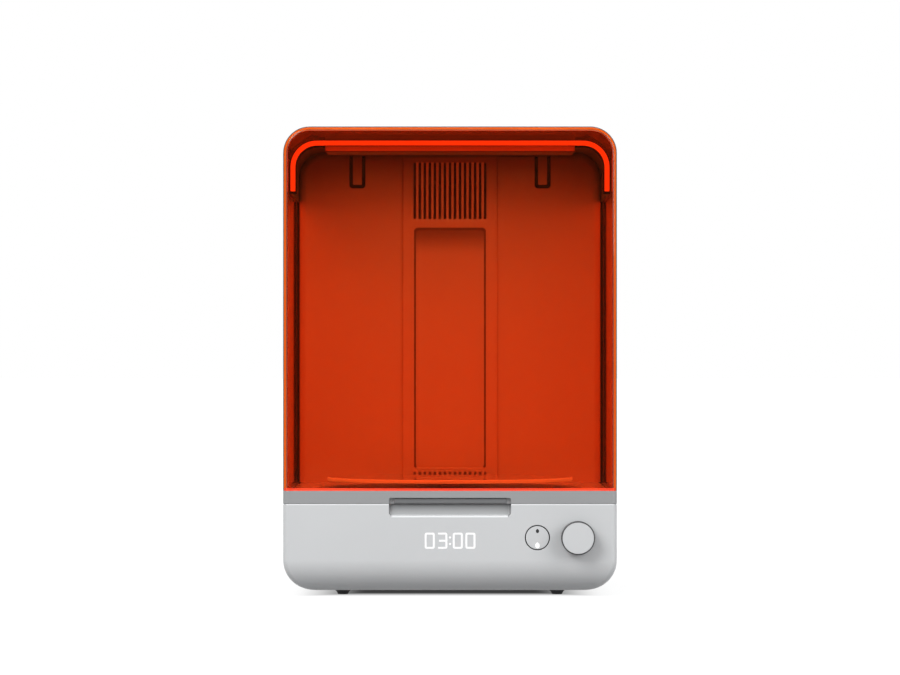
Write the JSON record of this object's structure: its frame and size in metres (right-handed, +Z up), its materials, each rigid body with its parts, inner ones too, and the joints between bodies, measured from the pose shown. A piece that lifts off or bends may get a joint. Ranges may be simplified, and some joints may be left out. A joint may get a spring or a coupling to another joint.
{
  "type": "dental lab light curing unit",
  "caption": "Bench-top light curing box: orange hinged hood over a lit white chamber with a driven turntable, on a light grey base with dial, button and time display.",
  "frame": {"origin": "on the ground under the middle of the unit's bounding box", "axes": "+X to the viewer's right, the dial and the hood's front face -Y, +Z up"},
  "size_m": [0.276, 0.31, 0.3889],
  "materials": {
    "shell_grey": "fine-grained light grey moulding",
    "frame_grey": "satin mid-grey moulding",
    "hood_orange": "clear orange acrylic that stops blue light",
    "rubber_dark": "dark rubber",
    "inner_white": "white chamber lining",
    "black_plastic": "black moulding",
    "steel": "plain steel",
    "aluminium": "plain aluminium",
    "brass": "machined brass",
    "gear_white": "natural acetal",
    "board_green": "circuit board with its components",
    "light_white": "lit clear plastic",
    "light_red": "lit light guide",
    "diffuser": "frosted clear plastic",
    "table_glass": "glossy turntable plate"
  },
  "bodies": {
    "unit": {"base_shell": "shell_grey", "bottom_plate": "steel", "rubber_feet": "rubber_dark", "plate_screws": "steel", "dial_encoder": "black_plastic", "button_switch": "black_plastic", "display_module": "black_plastic", "display_digits": "light_white", "control_board": "board_green", "board_screws": "steel", "power_supply": "board_green", "power_inlet": "black_plastic", "rocker_frame": "black_plastic", "cooling_fan_frame": "black_plastic", "drive_plate": "steel", "drive_screws": "steel", "bearing_housing": "aluminium", "spindle_bearings": "steel", "drive_motor": "steel", "chamber_floor": "inner_white", "floor_windows": "diffuser", "floor_lamps": "board_green", "deck_screws": "steel", "hood_bumpers": "rubber_dark", "hood_sensor": "board_green", "housing_hinge_leaves": "steel", "hinge_pins": "steel", "rear_housing": "shell_grey", "rear_bulkhead": "aluminium", "bulkhead_screws": "steel", "back_liner": "inner_white", "air_column": "inner_white", "air_duct": "aluminium", "air_heater": "aluminium", "blower_frame": "black_plastic", "lamp_driver": "board_green", "canopy": "aluminium", "light_arch": "light_red", "lamp_unit": "aluminium", "lamp_diffuser": "diffuser", "lamp_wiring": "black_plastic"},
    "hood": {"hood_shell": "hood_orange", "hood_frame": "frame_grey", "grip_pad": "rubber_dark", "hood_magnet": "steel", "hood_hinge_leaves": "steel"},
    "spindle_set": {"spindle": "steel", "spindle_gear": "gear_white", "turntable_hub": "aluminium"},
    "table_plate": {"turntable": "table_glass"},
    "motor_rotor": {"motor_shaft": "steel", "motor_pinion": "brass"},
    "dial_core": {"dial_shaft": "steel"},
    "dial": {"dial_knob": "shell_grey"},
    "button": {"start_button": "shell_grey", "status_light": "light_white"},
    "plunger": {"switch_plunger": "black_plastic"},
    "rocker": {"power_rocker": "black_plastic"},
    "cooling_wheel": {"cooling_fan_rotor": "black_plastic"},
    "blower_wheel": {"blower_rotor": "black_plastic"}
  },
  "joints": [
    {"name": "hood_hinge", "type": "hinge", "parent": "unit", "child": "hood", "pos_m": [0, 0.1096, 0.3849], "axis": [-1, 0, 0], "range_deg": [0, 75]},
    {"name": "turntable_spin", "type": "hinge", "parent": "unit", "child": "spindle_set", "pos_m": [0, -0.0226, 0.0881], "axis": [0, 0, 1], "continuous": true},
    {"name": "turntable_lift", "type": "slide", "parent": "spindle_set", "child": "table_plate", "axis": [0, 0, 1], "range_m": [0, 0.025]},
    {"name": "motor_spin", "type": "hinge", "parent": "unit", "child": "motor_rotor", "pos_m": [0.04, -0.0226, 0.0605], "axis": [0, 0, 1], "continuous": true},
    {"name": "dial_turn", "type": "hinge", "parent": "unit", "child": "dial_core", "pos_m": [0.1056, -0.143, 0.049], "axis": [0, 1, 0], "continuous": true},
    {"name": "dial_press", "type": "slide", "parent": "dial_core", "child": "dial", "axis": [0, 1, 0], "range_m": [0, 0.0007], "stiffness_N_per_m": 4000},
    {"name": "start_press", "type": "slide", "parent": "unit", "child": "button", "axis": [0, 1, 0], "range_m": [0, 0.001], "stiffness_N_per_m": 2500},
    {"name": "plunger_press", "type": "slide", "parent": "unit", "child": "plunger", "axis": [0, 1, 0], "range_m": [0, 0.001]},
    {"name": "power_rock", "type": "hinge", "parent": "unit", "child": "rocker", "pos_m": [-0.036, 0.148, 0.0505], "axis": [-1, 0, 0], "range_deg": [0, 16]},
    {"name": "cooling_spin", "type": "hinge", "parent": "unit", "child": "cooling_wheel", "pos_m": [0.075, 0.14, 0.0505], "axis": [0, 1, 0], "continuous": true},
    {"name": "blower_spin", "type": "hinge", "parent": "unit", "child": "blower_wheel", "pos_m": [0, 0.119, 0.3372], "axis": [0, 1, 0], "continuous": true}
  ],
  "couplings": [
    {"joint": "motor_spin", "follows": "turntable_spin", "ratio": -3},
    {"joint": "plunger_press", "follows": "start_press", "ratio": 1}
  ]
}
